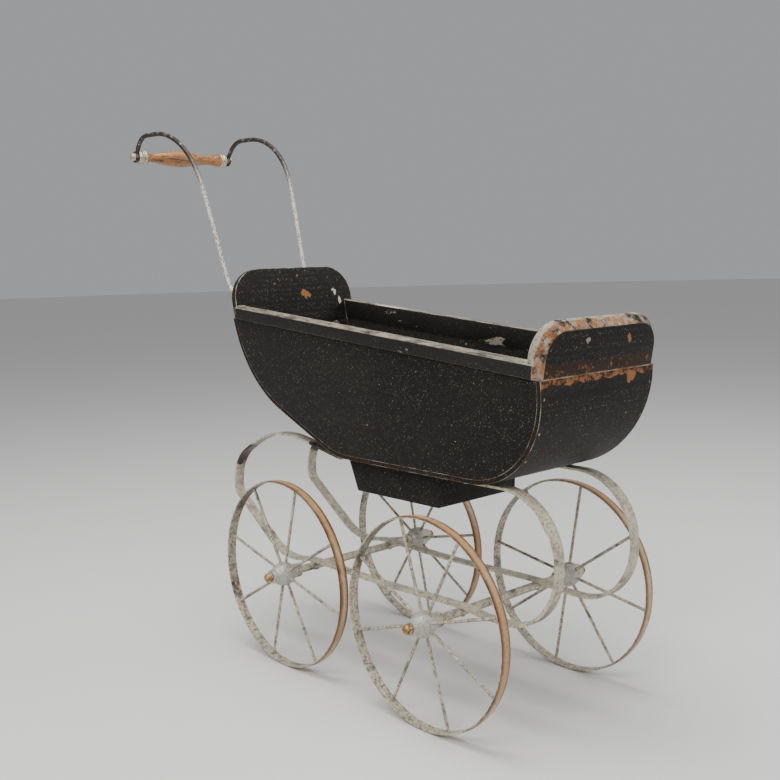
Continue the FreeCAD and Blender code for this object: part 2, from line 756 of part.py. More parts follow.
def wheel(end, name, side):
    """A wheel's flat tyre, eight spokes and hub, with the collar and nut that keep it on the axle."""
    corner = f"{end}_{name}"
    middle = Vector(AXLE_X[end], side * TRACK[end] / 2, size("wheel_radius"))
    turn = outward(side)
    tyre = turned(f"tyre_{corner}", [
        ("[wheel_radius] - [tyre_thickness]", "0"), ("[wheel_radius]", "0"), ("[wheel_radius]", "[tyre_width]"),
        ("[wheel_radius] - [tyre_thickness]", "[tyre_width]")])
    place(tyre, middle - Y_AXIS * side * size("tyre_width") / 2, turn)
    bore = "[journal_radius] + [running_clearance]"
    root = "[hub_inner_length] - [hub_half_flange]"
    rim = "[hub_inner_length] + [hub_half_flange]"
    hub = turned(f"hub_{corner}", [
        (bore, "0"), ("[hub_nose_radius]", "0"), ("[hub_nose_radius]", root), ("[hub_flange_radius]", root),
        ("[hub_flange_radius]", rim), ("[hub_nose_radius]", "[hub_inner_length] + [hub_outer_length]"),
        (bore, "[hub_inner_length] + [hub_outer_length]")])
    place(hub, middle - Y_AXIS * side * size("hub_inner_length"), turn)
    thread = f"[axle_nut_length] * {THREAD_SHARE}"
    nut = turned(f"axle_nut_{corner}", [
        ("0", thread), ("[journal_radius]", thread), ("[journal_radius]", "0"), ("[axle_nut_radius]", "0"),
        ("[axle_nut_radius]", thread), ("[axle_nut_radius] * 0.7", "[axle_nut_length]"),
        ("0", "[axle_nut_length]")])
    place(nut, middle + Y_AXIS * side * (size("hub_outer_length") + size("end_float")), turn)
    collar = turned(f"axle_collar_{corner}", [
        ("[axle_radius]", "0"), ("[collar_radius]", "0"), ("[collar_radius]", "[collar_length]"),
        ("[axle_radius]", "[collar_length]")])
    inner = size("hub_inner_length") + size("end_float") + size("collar_length")
    place(collar, middle - Y_AXIS * side * inner, turn)
    spokes(corner, middle, tyre, hub)


def spokes(corner, middle, tyre, hub):
    """Straight round spokes from the hub flange to the inside of the tyre."""
    document.recompute()
    rods = []
    for i in range(SPOKES_PER_WHEEL):
        angle = math.radians(SPOKE_PHASES[corner] + 360 * i / SPOKES_PER_WHEEL)
        ray = Vector(math.cos(angle), 0, math.sin(angle))
        start = middle + ray * (size("hub_flange_radius") - 2)
        end = middle + ray * (size("wheel_radius") - size("tyre_thickness") / 2)
        rods.append(largest(rod(size("spoke_radius"), start, end).cut(tyre.Shape).cut(hub.Shape)))
    keep_shape(Part.makeCompound(rods), f"spokes_{corner}")


# ----------------------------------------------------------------------------- handle

def iron_path():
    """Centre line of a handle iron: up the back of the body, over in an arch, down to the grip."""
    rim_x, rim_z = -size("body_rear"), rail_line(-size("body_rear"))
    top = GRIP.z + size("arch_rise")
    low = IRON_START_SHARE * size("iron_foot_length")
    foot = (rim_x + LEAN * low - size("iron_radius"), rim_z - low)
    bend = (rim_x - 2.5 * size("iron_radius"), rim_z + size("iron_radius"))
    kick = (rim_x - size("iron_kick_back"), rim_z + size("iron_kick_rise"))
    shoulder = (GRIP.x + size("iron_arch_run"), top - 2)
    crown = (GRIP.x + size("iron_crown_run"), top)
    radii = [0, size("iron_low_radius"), size("iron_kick_radius"), size("iron_arch_radius"),
             size("iron_crown_radius"), 0]
    return [foot, bend, kick, shoulder, crown, (GRIP.x, GRIP.z)], radii


def handle_iron(name, side):
    """A bent round iron with a flat foot at the bottom and an eye for the grip rod at the top."""
    path = rounded_path(*iron_path())
    first = path.Edges[0]
    start = first.valueAt(first.FirstParameter)
    along = first.tangentAt(first.FirstParameter)
    ring = Part.Wire(Part.makeCircle(size("iron_radius"), start, along))
    bar = path.makePipeShell([ring], True, True)
    bar.rotate(GRIP, X_AXIS, -side * size("iron_splay"))
    half_eye = size("eye_thickness") / 2
    eye = Part.makeCylinder(size("eye_radius"), size("eye_thickness"), GRIP - Y_AXIS * half_eye, Y_AXIS)
    hole = Part.makeCylinder(size("grip_rod_radius") + size("hole_clearance"), 40, GRIP - Y_AXIS * 20, Y_AXIS)
    foot = Part.makeBox(size("iron_foot_thickness"), size("iron_foot_width"), size("iron_foot_length"),
                        Vector(-size("iron_foot_thickness"),
                               -side * foot_set() - size("iron_foot_width") / 2,
                               -size("iron_foot_length")))
    foot.rotate(Vector(), Y_AXIS, -size("end_lean"))
    foot.translate(Vector(-size("body_rear"), 0, rail_line(-size("body_rear"))))
    beside_eye = [Part.makeCylinder(size("eye_radius") + 5, 10, GRIP + Y_AXIS * side_y, Y_AXIS)
                  for side_y in (half_eye, -half_eye - 10)]
    whole = bar.cut(beside_eye).fuse([eye, foot]).removeSplitter().cut(hole)
    whole.translate(Y_AXIS * side * HANDLE_Y)
    whole = whole.cut(belly_solid(0, lift=60))
    keep_shape(drilled(largest(whole)), f"handle_iron_{name}")


def grip():
    """The turned wooden grip with its ringed ferrules, on an iron rod between two domed knobs."""
    wood_half = "([body_width] / 2 - [handle_inset] - [eye_thickness] / 2 - [end_float] - [ferrule_length])"
    bore = "[grip_rod_radius] + [running_clearance]"
    neck, belly = "[grip_neck_radius]", "[grip_wood_radius]"
    flare = "[ferrule_radius] - 1.2"
    wood = turned("grip_wood", [
        (bore, "0"), (flare, "0"), (neck, f"{wood_half} * 0.22"), (neck, f"{wood_half} * 0.34"),
        (f"{belly} * 0.86", f"{wood_half} * 0.72"), (belly, f"{wood_half}"),
        (f"{belly} * 0.86", f"{wood_half} * 1.28"), (neck, f"{wood_half} * 1.66"),
        (neck, f"{wood_half} * 1.78"), (flare, f"{wood_half} * 2"), (bore, f"{wood_half} * 2")])
    half = HANDLE_Y - size("eye_thickness") / 2 - size("end_float") - size("ferrule_length")
    place(wood, GRIP - Y_AXIS * half)
    outer_face = HANDLE_Y + size("eye_thickness") / 2
    rod_half = outer_face + size("knob_length") * 0.6
    keep_shape(rod(size("grip_rod_radius"), GRIP - Y_AXIS * rod_half, GRIP + Y_AXIS * rod_half), "grip_rod")
    for name, side in SIDES.items():
        ferrule = turned(f"grip_ferrule_{name}", [
            (bore, "0"), ("[ferrule_radius] - 1.2", "0"), ("[ferrule_radius]", "[ferrule_length] * 0.15"),
            ("[ferrule_radius]", "[ferrule_length] * 0.35"), ("[ferrule_radius] - 1.6", "[ferrule_length] * 0.45"),
            ("[ferrule_radius] - 1", "[ferrule_length] * 0.75"), ("[ferrule_radius] - 3", "[ferrule_length]"),
            (bore, "[ferrule_length]")])
        place(ferrule, GRIP + Y_AXIS * side * half, outward(side))
        knob = turned(f"grip_knob_{name}", [
            ("0", "[knob_length] * 0.6"), ("[grip_rod_radius]", "[knob_length] * 0.6"),
            ("[grip_rod_radius]", "0"), ("[knob_radius]", "0"), ("[knob_radius]", "[knob_length] * 0.5"),
            ("[knob_radius] * 0.6", "[knob_length]"), ("0", "[knob_length]")])
        place(knob, GRIP + Y_AXIS * side * outer_face, outward(side))


# ----------------------------------------------------------------------------- the whole carriage

def build():
    """Makes every sub-part."""
    for name, side in SIDES.items():
        rail(name, side)
        side_panel(name, side)
    end_board("head_board", -1, size("head_corner"), size("head_board_rise"))
    end_board("foot_board", 1, size("foot_corner"), size("foot_board_rise"))
    belly_sections()
    well()
    spring_mounts()
    belly_tacks()
    for name, side in SIDES.items():
        strap(name, side)
        handle_iron(name, side)
    grip()
    for end in ENDS:
        axle(end)
        for name, side in SIDES.items():
            wheel(end, name, side)
    fasteners()


def centre_on_origin():
    """Moves the model along X so that the origin is the bottom centre of its bounding box."""
    document.recompute()
    box = FreeCAD.BoundBox()
    for piece in sub_parts:
        box.add(piece.Shape.optimalBoundingBox(False, False))
    shift = Vector(-(box.XMin + box.XMax) / 2, 0, 0)
    for piece in sub_parts:
        piece.Placement = Placement(shift, Rotation()).multiply(piece.Placement)
    document.recompute()


def check_and_write():
    """Stops if anything failed, then writes one STEP file for each sub-part."""
    for item in document.Objects:
        if "Invalid" in item.State or "Error" in item.State:
            raise RuntimeError(f"{item.Label} failed: {item.State}")
    for piece in sub_parts:
        shape = piece.Shape
        if shape.isNull() or not shape.isValid() or not shape.Solids:
            raise RuntimeError(f"{piece.Label} has no valid solid")
    for piece in sub_parts:
        piece.Shape.exportStep(f"parts/{piece.Label}.step")
    print(len(sub_parts), "sub-parts written")


build()
centre_on_origin()
check_and_write()
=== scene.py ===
"""Looks of the antique doll carriage: worn copies of its wooden and iron parts, turned details,
procedural materials, a pale floor, soft studio light and the camera.

The model stands in the row frame: +X towards the foot end, +Y to the left, +Z up, in metres.
"""

import json
import math

import bmesh
import bpy
from mathutils import Matrix, Vector


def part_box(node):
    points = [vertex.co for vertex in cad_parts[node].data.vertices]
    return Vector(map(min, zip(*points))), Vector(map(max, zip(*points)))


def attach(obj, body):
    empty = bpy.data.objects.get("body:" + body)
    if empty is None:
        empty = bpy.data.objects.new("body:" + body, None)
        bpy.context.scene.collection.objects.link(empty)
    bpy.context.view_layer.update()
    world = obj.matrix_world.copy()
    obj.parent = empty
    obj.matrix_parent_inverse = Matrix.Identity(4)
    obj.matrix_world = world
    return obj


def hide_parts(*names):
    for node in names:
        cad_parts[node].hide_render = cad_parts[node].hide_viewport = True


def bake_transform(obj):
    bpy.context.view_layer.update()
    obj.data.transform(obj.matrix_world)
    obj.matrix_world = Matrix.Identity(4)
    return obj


MM = 0.001
SIDES = {"left": 1, "right": -1}
CORNERS = [f"{end}_{side}" for end in ("front", "rear") for side in SIDES]
SHARP_ANGLE = math.radians(32)

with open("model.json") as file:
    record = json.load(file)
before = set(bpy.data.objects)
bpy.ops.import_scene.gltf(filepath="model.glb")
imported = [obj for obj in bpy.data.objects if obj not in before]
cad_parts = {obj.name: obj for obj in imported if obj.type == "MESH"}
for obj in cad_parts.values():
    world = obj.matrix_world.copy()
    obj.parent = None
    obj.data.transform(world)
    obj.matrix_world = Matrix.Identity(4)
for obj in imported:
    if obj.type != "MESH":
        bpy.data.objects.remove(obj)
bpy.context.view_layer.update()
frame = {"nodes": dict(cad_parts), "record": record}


def lowest(node):
    """Lowest corner of a CAD node."""
    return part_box(node)[0]


def highest(node):
    """Highest corner of a CAD node."""
    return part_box(node)[1]


def middle(node):
    """Middle of a CAD node's box."""
    low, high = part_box(node)
    return (low + high) / 2


# ----------------------------------------------------------------------------- colours (linear)

CHARCOAL = (0.0115, 0.0105, 0.0085, 1)
DEEP_BLACK_AND_SHADE = (0.0065, 0.006, 0.005, 1)
DUST = (0.30, 0.275, 0.225, 1)
PALE_PAINT = (0.56, 0.50, 0.385, 1)
RUST_ORANGE = (0.29, 0.122, 0.045, 1)
RUST_BROWN = (0.060, 0.026, 0.013, 1)
BAND_BROWN = (0.030, 0.014, 0.0075, 1)
GRIME = (0.17, 0.145, 0.095, 1)
WORN_BEIGE = (0.30, 0.26, 0.20, 1)
IRON_CREAM = (0.60, 0.53, 0.385, 1)
IRON_GREY = (0.38, 0.35, 0.275, 1)
IRON_DARK = (0.035, 0.024, 0.018, 1)
TREAD_TAN = (0.44, 0.285, 0.14, 1)
GALVANISED = (0.56, 0.55, 0.50, 1)
BRASS = (0.45, 0.25, 0.085, 1)
VARNISH = (0.38, 0.16, 0.042, 1)
GRAIN_DARK = (0.07, 0.024, 0.008, 1)
BARE_STEEL = (0.52, 0.48, 0.40, 1)
FLOOR_PALE = (0.80, 0.79, 0.77, 1)


# ----------------------------------------------------------------------------- material helpers

class Graph:
    """A material's node tree, with short ways to add the nodes that the finishes share."""

    def __init__(self, name):
        self.material = bpy.data.materials.new(name)
        self.material.use_nodes = True
        self.tree = self.material.node_tree
        self.tree.nodes.clear()
        self.shader = self.add("BsdfPrincipled")
        output = self.add("OutputMaterial")
        self.tree.links.new(self.shader.outputs[0], output.inputs[0])
        coordinates = self.add("TexCoord")
        self.place = coordinates.outputs["Object"]
        self.normal = coordinates.outputs["Normal"]

    def add(self, kind, inputs=None, **settings):
        """Adds a node, applies its settings and fills or links its inputs."""
        node = self.tree.nodes.new("ShaderNode" + kind)
        for name, value in settings.items():
            setattr(node, name, value)
        for key, value in (inputs or {}).items():
            if isinstance(value, bpy.types.NodeSocket):
                self.tree.links.new(value, node.inputs[key])
            else:
                node.inputs[key].default_value = value
        return node

    def math(self, operation, *values):
        """A Math node's result."""
        return self.add("Math", dict(enumerate(values)), operation=operation).outputs[0]

    def step(self, value, low, high):
        """0 below low, 1 above high, and smooth between; falls instead when low is above high."""
        inputs = {"Value": value, "From Min": low, "From Max": high}
        return self.add("MapRange", inputs, interpolation_type="SMOOTHSTEP").outputs[0]

    def scaled(self, scale):
        """Coordinates stretched by a vector, for grain that runs one way."""
        mapping = self.add("Mapping", {"Vector": self.place, "Scale": scale})
        return mapping.outputs[0]

    def noise(self, scale, detail=4.0, roughness=0.6, place=None):
        """Noise from 0 to 1."""
        inputs = {"Vector": place or self.place, "Scale": scale, "Detail": detail, "Roughness": roughness}
        return self.add("TexNoise", inputs).outputs[0]

    def cells(self, scale, place=None, feature="F1"):
        """A Voronoi node: distance to a cell's middle and the cell's random colour."""
        return self.add("TexVoronoi", {"Vector": place or self.place, "Scale": scale}, feature=feature)

    def dots(self, scale, share, radius, place=None):
        """Scattered round-ish spots: a share of the cells hold one, up to a radius in cell widths."""
        cell = self.cells(scale, place)
        chosen = self.add("SeparateColor", {0: cell.outputs["Color"]}).outputs[0]
        wide = self.step(chosen, 1 - share, 1.0)
        limit = self.math("MULTIPLY", wide, radius)
        return self.step(cell.outputs["Distance"], limit, self.math("MULTIPLY", limit, 0.6))

    def ragged(self, amount, scale):
        """The coordinates shaken by noise, so that spots and bands get ragged outlines."""
        shake = self.add("TexNoise", {"Vector": self.place, "Scale": scale, "Detail": 5.0}).outputs["Color"]
        centred = self.add("VectorMath", {0: shake, 1: (0.5, 0.5, 0.5)}, operation="SUBTRACT").outputs[0]
        scaled = self.add("VectorMath", {0: centred, "Scale": amount}, operation="SCALE").outputs[0]
        return self.add("VectorMath", {0: self.place, 1: scaled}, operation="ADD").outputs[0]

    def along(self, axis, place=None):
        """One coordinate, in metres."""
        return self.add("SeparateXYZ", {0: place or self.place}).outputs["XYZ".index(axis)]

    def facing(self, axis):
        """One component of the surface's own normal."""
        return self.add("SeparateXYZ", {0: self.normal}).outputs["XYZ".index(axis)]

    def mix(self, share, first, second):
        """Blends two colours."""
        node = self.add("Mix", {0: share}, data_type="RGBA")
        for socket, value in ((node.inputs[6], first), (node.inputs[7], second)):
            if isinstance(value, bpy.types.NodeSocket):
                self.tree.links.new(value, socket)
            else:
                socket.default_value = value
        return node.outputs[2]

    def arris(self, width):
        """1 on a sharp edge, falling to 0 a width away."""
        rounded = self.add("Bevel", {"Radius": width}, samples=6).outputs[0]
        flat = self.add("NewGeometry").outputs["Normal"]
        likeness = self.add("VectorMath", {0: rounded, 1: flat}, operation="DOT_PRODUCT").outputs["Value"]
        return self.step(likeness, 0.985, 0.86)

    def patch(self, centre, spread, place):
        """1 inside a spot round a point that reaches as far as spread says along X, Y and Z."""
        offset = self.add("VectorMath", {0: place, 1: centre}, operation="SUBTRACT").outputs[0]
        shares = self.add("VectorMath", {0: offset, 1: [1 / part for part in spread]}, operation="MULTIPLY")
        gap = self.add("VectorMath", {0: shares.outputs[0]}, operation="LENGTH").outputs["Value"]
        return self.step(gap, 1.0, 0.86)

    def finish(self, colour, roughness, height=None, depth=0.0004, strength=1.0):
        """Links colour, roughness and bump to the shader and returns the material."""
        for name, value in (("Base Color", colour), ("Roughness", roughness)):
            if isinstance(value, bpy.types.NodeSocket):
                self.tree.links.new(value, self.shader.inputs[name])
            else:
                self.shader.inputs[name].default_value = value
        if height is not None:
            bump = self.add("Bump", {"Height": height, "Distance": depth, "Strength": strength})
            self.tree.links.new(bump.outputs[0], self.shader.inputs["Normal"])
        return self.material


# ----------------------------------------------------------------------------- finishes

# each kind of speck: how many per metre, share of places that hold one, size in places, and strength
SPECKS = ((900.0, 0.55, 0.45, 0.28), (500.0, 0.36, 0.38, 0.42), (250.0, 0.14, 0.26, 0.55))


def speckled_black(graph, dusty=1.0):
    """Near-black paint with a faint haze and dense fine pale specks."""
    tone = graph.mix(graph.step(graph.noise(9.0, 4.0), 0.35, 0.7), DEEP_BLACK_AND_SHADE, CHARCOAL)
    mottle = graph.step(graph.noise(260.0, 6.0, 0.75), 0.5, 0.75)
    tone = graph.mix(graph.math("MULTIPLY", mottle, 0.035 * dusty), tone, DUST)
    density = graph.step(graph.noise(24.0, 3.0), 0.2, 0.52)
    for scale, share, radius, weight in SPECKS:
        specks = graph.math("MULTIPLY", graph.dots(scale, share, radius), density)
        tone = graph.mix(graph.math("MULTIPLY", specks, weight * dusty), tone, DUST)
    return tone


def chipped(graph, tone, scale, share, colour, radius=0.2):
    """Ragged chips of a colour scattered over a tone, and the mask they make."""
    mask = graph.dots(scale, share, radius, graph.ragged(0.011, 190.0))
    return graph.mix(mask, tone, colour), mask


def worn_edges(graph, tone, width, amount, first=RUST_ORANGE, second=PALE_PAINT):
    """Broken wear along sharp edges, changing from one colour to another."""
    broken = graph.step(graph.noise(95.0, 6.0, 0.7), 1.0 - amount, 1.12 - amount)
    mask = graph.math("MULTIPLY", graph.arris(width), broken)
    colour = graph.mix(graph.step(graph.noise(60.0, 2.0), 0.42, 0.6), first, second)
    return graph.mix(mask, tone, colour), mask


def black_paint(name, width=1.4 * MM, amount=0.62, patches=(), bands=(), pale_slope=0.0):
    """Old black paint on wood; patches are (centre, size, colour), bands (low, high, colour).

    Sloping faces that look up are rubbed pale to the extent that pale_slope says."""
    graph = Graph(name)
    ragged = graph.ragged(0.012, 190.0)
    tone = speckled_black(graph)
    tone, small = chipped(graph, tone, 62.0, 0.13, RUST_ORANGE, 0.13)
    tone, _ = chipped(graph, tone, 85.0, 0.10, PALE_PAINT, 0.09)
    for low, high, colour in bands:
        tone = banded(graph, tone, low, high, colour)
    for centre, spread, colour in patches:
        tone = graph.mix(graph.patch(centre, spread, ragged), tone, colour)
    if pale_slope:
        tone = rubbed_slope(graph, tone, pale_slope)
    tone, worn = worn_edges(graph, tone, width, amount)
    brush = graph.noise(60.0, 3.0, 0.6, graph.scaled((1.0, 6.0, 6.0)))
    height = graph.math("ADD", graph.noise(420.0, 4.0), graph.math("MULTIPLY", brush, 0.5))
    height = graph.math("SUBTRACT", height, graph.math("MULTIPLY", graph.math("MAXIMUM", small, worn), 1.5))
    graph.shader.inputs["Specular IOR Level"].default_value = 0.2
    return graph.finish(tone, 0.62, height, 0.00016, 0.6)


def rubbed_slope(graph, tone, extent):
    """Grey-cream wood with dark flecks where the paint is rubbed off faces that look up or sideways."""
    sideways = graph.step(graph.math("ABSOLUTE", graph.facing("Y")), 0.3, 0.5)
    exposed = graph.math("MAXIMUM", graph.step(graph.facing("Z"), 0.3, 0.55), sideways)
    broken = graph.step(graph.noise(70.0, 6.0, 0.7), 0.72 - extent, 0.86 - extent)
    bare = graph.mix(graph.step(graph.noise(150.0, 5.0, 0.7), 0.28, 0.5), PALE_PAINT, WORN_BEIGE)
    chamfer = graph.step(graph.math("ABSOLUTE", graph.facing("X")), 0.3, 0.5)
    rusty = graph.math("MULTIPLY", chamfer, graph.step(graph.noise(110.0, 6.0, 0.75), 0.42, 0.56))
    bare = graph.mix(rusty, bare, RUST_ORANGE)
    bare = graph.mix(graph.step(graph.noise(240.0, 5.0, 0.7), 0.56, 0.66), bare, IRON_DARK)
    return graph.mix(graph.math("MULTIPLY", exposed, broken), tone, bare)


def banded(graph, tone, low, high, colour):
    """A ragged level band round the foot end between two heights, flecked with orange at its bottom."""
    height = graph.along("Z", graph.ragged(0.012, 75.0))
    edge = 0.6 * MM
    band = graph.math("MULTIPLY", graph.step(height, low, low + edge), graph.step(height, high, high - edge))
    near_bottom = graph.math("MULTIPLY", graph.step(height, high, low), 0.13)
    flecks = graph.math("ADD", graph.noise(150.0, 7.0, 0.75), near_bottom)
    rusty = graph.mix(graph.step(flecks, 0.55, 0.68), colour, RUST_ORANGE)
    cover = graph.step(graph.math("ADD", graph.noise(110.0, 6.0, 0.75), near_bottom), 0.38, 0.5)
    ahead = graph.step(graph.along("X"), middle("well_floor").x, highest("well_floor").x)
    outside = graph.math("MULTIPLY", ahead, graph.step(graph.facing("X"), 0.1, 0.4))
    return graph.mix(graph.math("MULTIPLY", graph.math("MULTIPLY", band, cover), outside), tone, rusty)


def rail_paint(name):
    """Black paint on the flat sides, worn to beige wood on the chamfer and top and pale along the edges."""
    graph = Graph(name)
    tone = speckled_black(graph, 0.5)
    skyward = graph.step(graph.facing("Z"), 0.3, 0.55)
    streaks = graph.noise(190.0, 6.0, 0.7, graph.scaled((0.22, 1.0, 1.0)))
    beige = graph.mix(graph.step(streaks, 0.35, 0.68), WORN_BEIGE, IRON_DARK)
    pale = graph.step(graph.noise(30.0, 5.0, 0.65, graph.scaled((0.5, 1.0, 1.0))), 0.56, 0.66)
    beige = graph.mix(pale, beige, PALE_PAINT)
    bare = graph.math("MULTIPLY", skyward, graph.step(graph.noise(40.0, 5.0, 0.7), 0.16, 0.4))
    tone = graph.mix(bare, tone, beige)
    side_patches = graph.step(graph.noise(34.0, 6.0, 0.7, graph.scaled((0.6, 1.0, 1.6))), 0.62, 0.66)
    tone = graph.mix(side_patches, tone, WORN_BEIGE)
    tone, worn = worn_edges(graph, tone, 1.6 * MM, 0.74, RUST_ORANGE, PALE_PAINT)
    height = graph.math("ADD", streaks, graph.math("MULTIPLY", worn, -1.0))
    graph.shader.inputs["Specular IOR Level"].default_value = 0.3
    return graph.finish(tone, 0.62, height, 0.0002, 0.6)


def cream_iron(name, rust=0.46, grime=0.5, patches=()):
    """Cream paint on iron, freckled with dark specks, blotched with brown-black, and darkened underneath as
    painted shade.
    """
    graph = Graph(name)
    tone = graph.mix(graph.step(graph.noise(38.0, 5.0, 0.65), 0.42, 0.7), IRON_CREAM, IRON_GREY)
    mottle = graph.step(graph.noise(150.0, 7.0, 0.8), 0.46, 0.62)
    tone = graph.mix(graph.math("MULTIPLY", mottle, 0.6), tone, GRIME)
    dirt = graph.step(graph.noise(340.0, 7.0, 0.8), 1 - grime, 1.08 - grime)
    tone = graph.mix(graph.math("MULTIPLY", dirt, 0.8), tone, IRON_DARK)
    pits = graph.dots(420.0, 0.55, 0.42)
    tone = graph.mix(graph.math("MULTIPLY", pits, 0.8), tone, IRON_DARK)
    stain = graph.math("MULTIPLY", graph.step(graph.noise(19.0, 6.0, 0.7), 1 - rust, 1.12 - rust),
                       graph.step(graph.noise(210.0, 5.0, 0.75), 0.38, 0.54))
    stain_tone = graph.mix(graph.step(graph.noise(80.0, 3.0), 0.5, 0.66), IRON_DARK, RUST_ORANGE)
    tone = graph.mix(stain, tone, stain_tone)
    # painted shade: faces that look down are darkened towards IRON_DARK
    underside_painted_shade = graph.step(graph.facing("Z"), -0.2, -0.85)
    tone = graph.mix(graph.math("MULTIPLY", underside_painted_shade, 0.7), tone, IRON_DARK)
    ragged = graph.ragged(0.02, 120.0)
    for centre, spread, colour in patches:
        tone = graph.mix(graph.patch(centre, spread, ragged), tone, colour)
    tone, worn = worn_edges(graph, tone, 0.8 * MM, 0.5, RUST_BROWN, PALE_PAINT)
    height = graph.math("SUBTRACT", graph.noise(330.0, 5.0), graph.math("ADD", pits, worn))
    roughness = graph.math("ADD", 0.42, graph.math("MULTIPLY", dirt, 0.3))
    return graph.finish(tone, roughness, height, 0.00016, 0.8)


def tread_iron(name):
    """The outer face of a tyre: cream-tan along the middle and rust-brown towards both rims, partly real rust
    and partly painted highlight and shade of the crown.
    """
    graph = Graph(name)
    rim = graph.add("Attribute", attribute_name="rim").outputs["Fac"]
    shaken = graph.math("ADD", rim, graph.math("MULTIPLY", graph.noise(60.0, 5.0, 0.7), 0.9))
    tone = graph.mix(graph.step(shaken, 0.7, 1.15), TREAD_TAN, RUST_ORANGE)
    tone = graph.mix(graph.step(shaken, 1.1, 1.45), tone, RUST_BROWN)
    # painted highlight: pale cream patches along the middle of the crowned tread
    patchy = graph.step(graph.noise(16.0, 4.0, 0.6), 0.46, 0.6)
    pale = graph.math("MULTIPLY", patchy, graph.step(shaken, 0.9, 0.5))
    tone = graph.mix(graph.math("MULTIPLY", pale, 0.62), tone, IRON_CREAM)
    dark = graph.step(graph.noise(300.0, 6.0, 0.75), 0.54, 0.66)
    tone = graph.mix(graph.math("MULTIPLY", dark, 0.7), tone, RUST_BROWN)
    return graph.finish(tone, graph.math("ADD", 0.38, graph.math("MULTIPLY", dark, 0.35)),
                        graph.noise(300.0, 5.0), 0.0002, 0.6)


def galvanised(name):
    """Dull grey cast metal with a coarse sandy surface and dark pits."""
    graph = Graph(name)
    grit = graph.noise(420.0, 5.0, 0.75)
    tone = graph.mix(graph.step(grit, 0.36, 0.64), IRON_GREY, GALVANISED)
    pits = graph.dots(520.0, 0.5, 0.45)
    tone = graph.mix(graph.math("MULTIPLY", pits, 0.55), tone, IRON_DARK)
    graph.shader.inputs["Metallic"].default_value = 0.35
    return graph.finish(tone, 0.5, graph.math("SUBTRACT", grit, pits), 0.0004, 1.0)


def brass(name):
    """Tarnished brass with brown patches, and pale cream patches that are a painted highlight."""
    graph = Graph(name)
    patchy = graph.step(graph.noise(260.0, 5.0, 0.65), 0.44, 0.6)
    tone = graph.mix(graph.math("MULTIPLY", patchy, 0.8), BRASS, RUST_BROWN)
    # painted highlight: pale cream patches on the nut
    tone = graph.mix(graph.step(graph.noise(300.0, 4.0), 0.56, 0.64), tone, PALE_PAINT)
    graph.shader.inputs["Metallic"].default_value = 0.5
    roughness = graph.math("ADD", 0.42, graph.math("MULTIPLY", patchy, 0.3))
    return graph.finish(tone, roughness, graph.noise(500.0, 4.0), 0.0001, 0.5)


def handle_metal(name):
    """The handle irons: brown-black up at the arch, pale grey with dark scuffs lower down, where the pale grey
    is partly a painted highlight.
    """
    graph = Graph(name)
    high = graph.step(graph.along("Z"), 0.55, 0.61)
    scuffs = graph.step(graph.noise(520.0, 6.0, 0.75, graph.scaled((1.0, 1.0, 0.5))), 0.5, 0.6)
    # lower down: pale grey with dark scuffs; the pale grey is partly the irons' own colour and partly a painted
    # highlight
    low_tone = graph.mix(graph.math("MULTIPLY", scuffs, 0.85), GALVANISED, IRON_DARK)
    high_tone = graph.mix(graph.step(graph.noise(150.0, 6.0, 0.75), 0.54, 0.64), IRON_DARK, WORN_BEIGE)
    tone = graph.mix(high, low_tone, high_tone)
    rusty = graph.step(graph.noise(60.0, 5.0, 0.7), 0.6, 0.68)
    tone = graph.mix(graph.math("MULTIPLY", rusty, 0.7), tone, RUST_BROWN)
    graph.shader.inputs["Metallic"].default_value = 0.3
    return graph.finish(tone, 0.5, graph.noise(380.0, 5.0), 0.0002, 0.8)


def varnished_wood(name):
    """Turned wood under old varnish: dark grain lines run along the grip."""
    graph = Graph(name)
    fibre = graph.noise(420.0, 7.0, 0.7, graph.scaled((1.0, 0.07, 1.0)))
    band = graph.noise(130.0, 4.0, 0.6, graph.scaled((1.0, 0.16, 1.0)))
    tone = graph.mix(graph.step(fibre, 0.45, 0.66), VARNISH, GRAIN_DARK)
    tone = graph.mix(graph.math("MULTIPLY", graph.step(band, 0.5, 0.7), 0.6), tone, GRAIN_DARK)
    warm = graph.step(graph.noise(45.0, 4.0), 0.56, 0.7)
    tone = graph.mix(graph.math("MULTIPLY", warm, 0.35), tone, RUST_ORANGE)
    graph.shader.inputs["Coat Weight"].default_value = 0.4
    graph.shader.inputs["Coat Roughness"].default_value = 0.25
    return graph.finish(tone, 0.42, fibre, 0.0003, 0.6)


def worn_plating(name):
    """Worn plated steel: silvery cream with brown patches."""
    graph = Graph(name)
    patchy = graph.step(graph.noise(330.0, 5.0, 0.7), 0.45, 0.62)
    tone = graph.mix(graph.math("MULTIPLY", patchy, 0.6), BARE_STEEL, BRASS)
    graph.shader.inputs["Metallic"].default_value = 0.75
    return graph.finish(tone, graph.math("ADD", 0.3, graph.math("MULTIPLY", patchy, 0.3)),
                        graph.noise(600.0, 4.0), 0.0001, 0.5)


def dull_steel(name):
    """Dark screws, bolts and tacks with a little rust."""
    graph = Graph(name)
    tone = graph.mix(graph.step(graph.noise(350.0, 5.0, 0.7), 0.45, 0.62), IRON_DARK, IRON_GREY)
    tone = graph.mix(graph.step(graph.noise(200.0, 4.0), 0.55, 0.66), tone, RUST_BROWN)
    graph.shader.inputs["Metallic"].default_value = 0.4
    return graph.finish(tone, 0.55, graph.noise(500.0, 4.0), 0.0001, 0.6)


# ----------------------------------------------------------------------------- mesh helpers

def linked(name, mesh, materials):
    """A new object with its materials, smooth where its faces nearly line up."""
    piece = bpy.data.objects.new(name, mesh)
    bpy.context.scene.collection.objects.link(piece)
    for material in materials:
        mesh.materials.append(material)
    mesh.polygons.foreach_set("use_smooth", [True] * len(mesh.polygons))
    mesh.set_sharp_from_angle(angle=SHARP_ANGLE)
    return piece


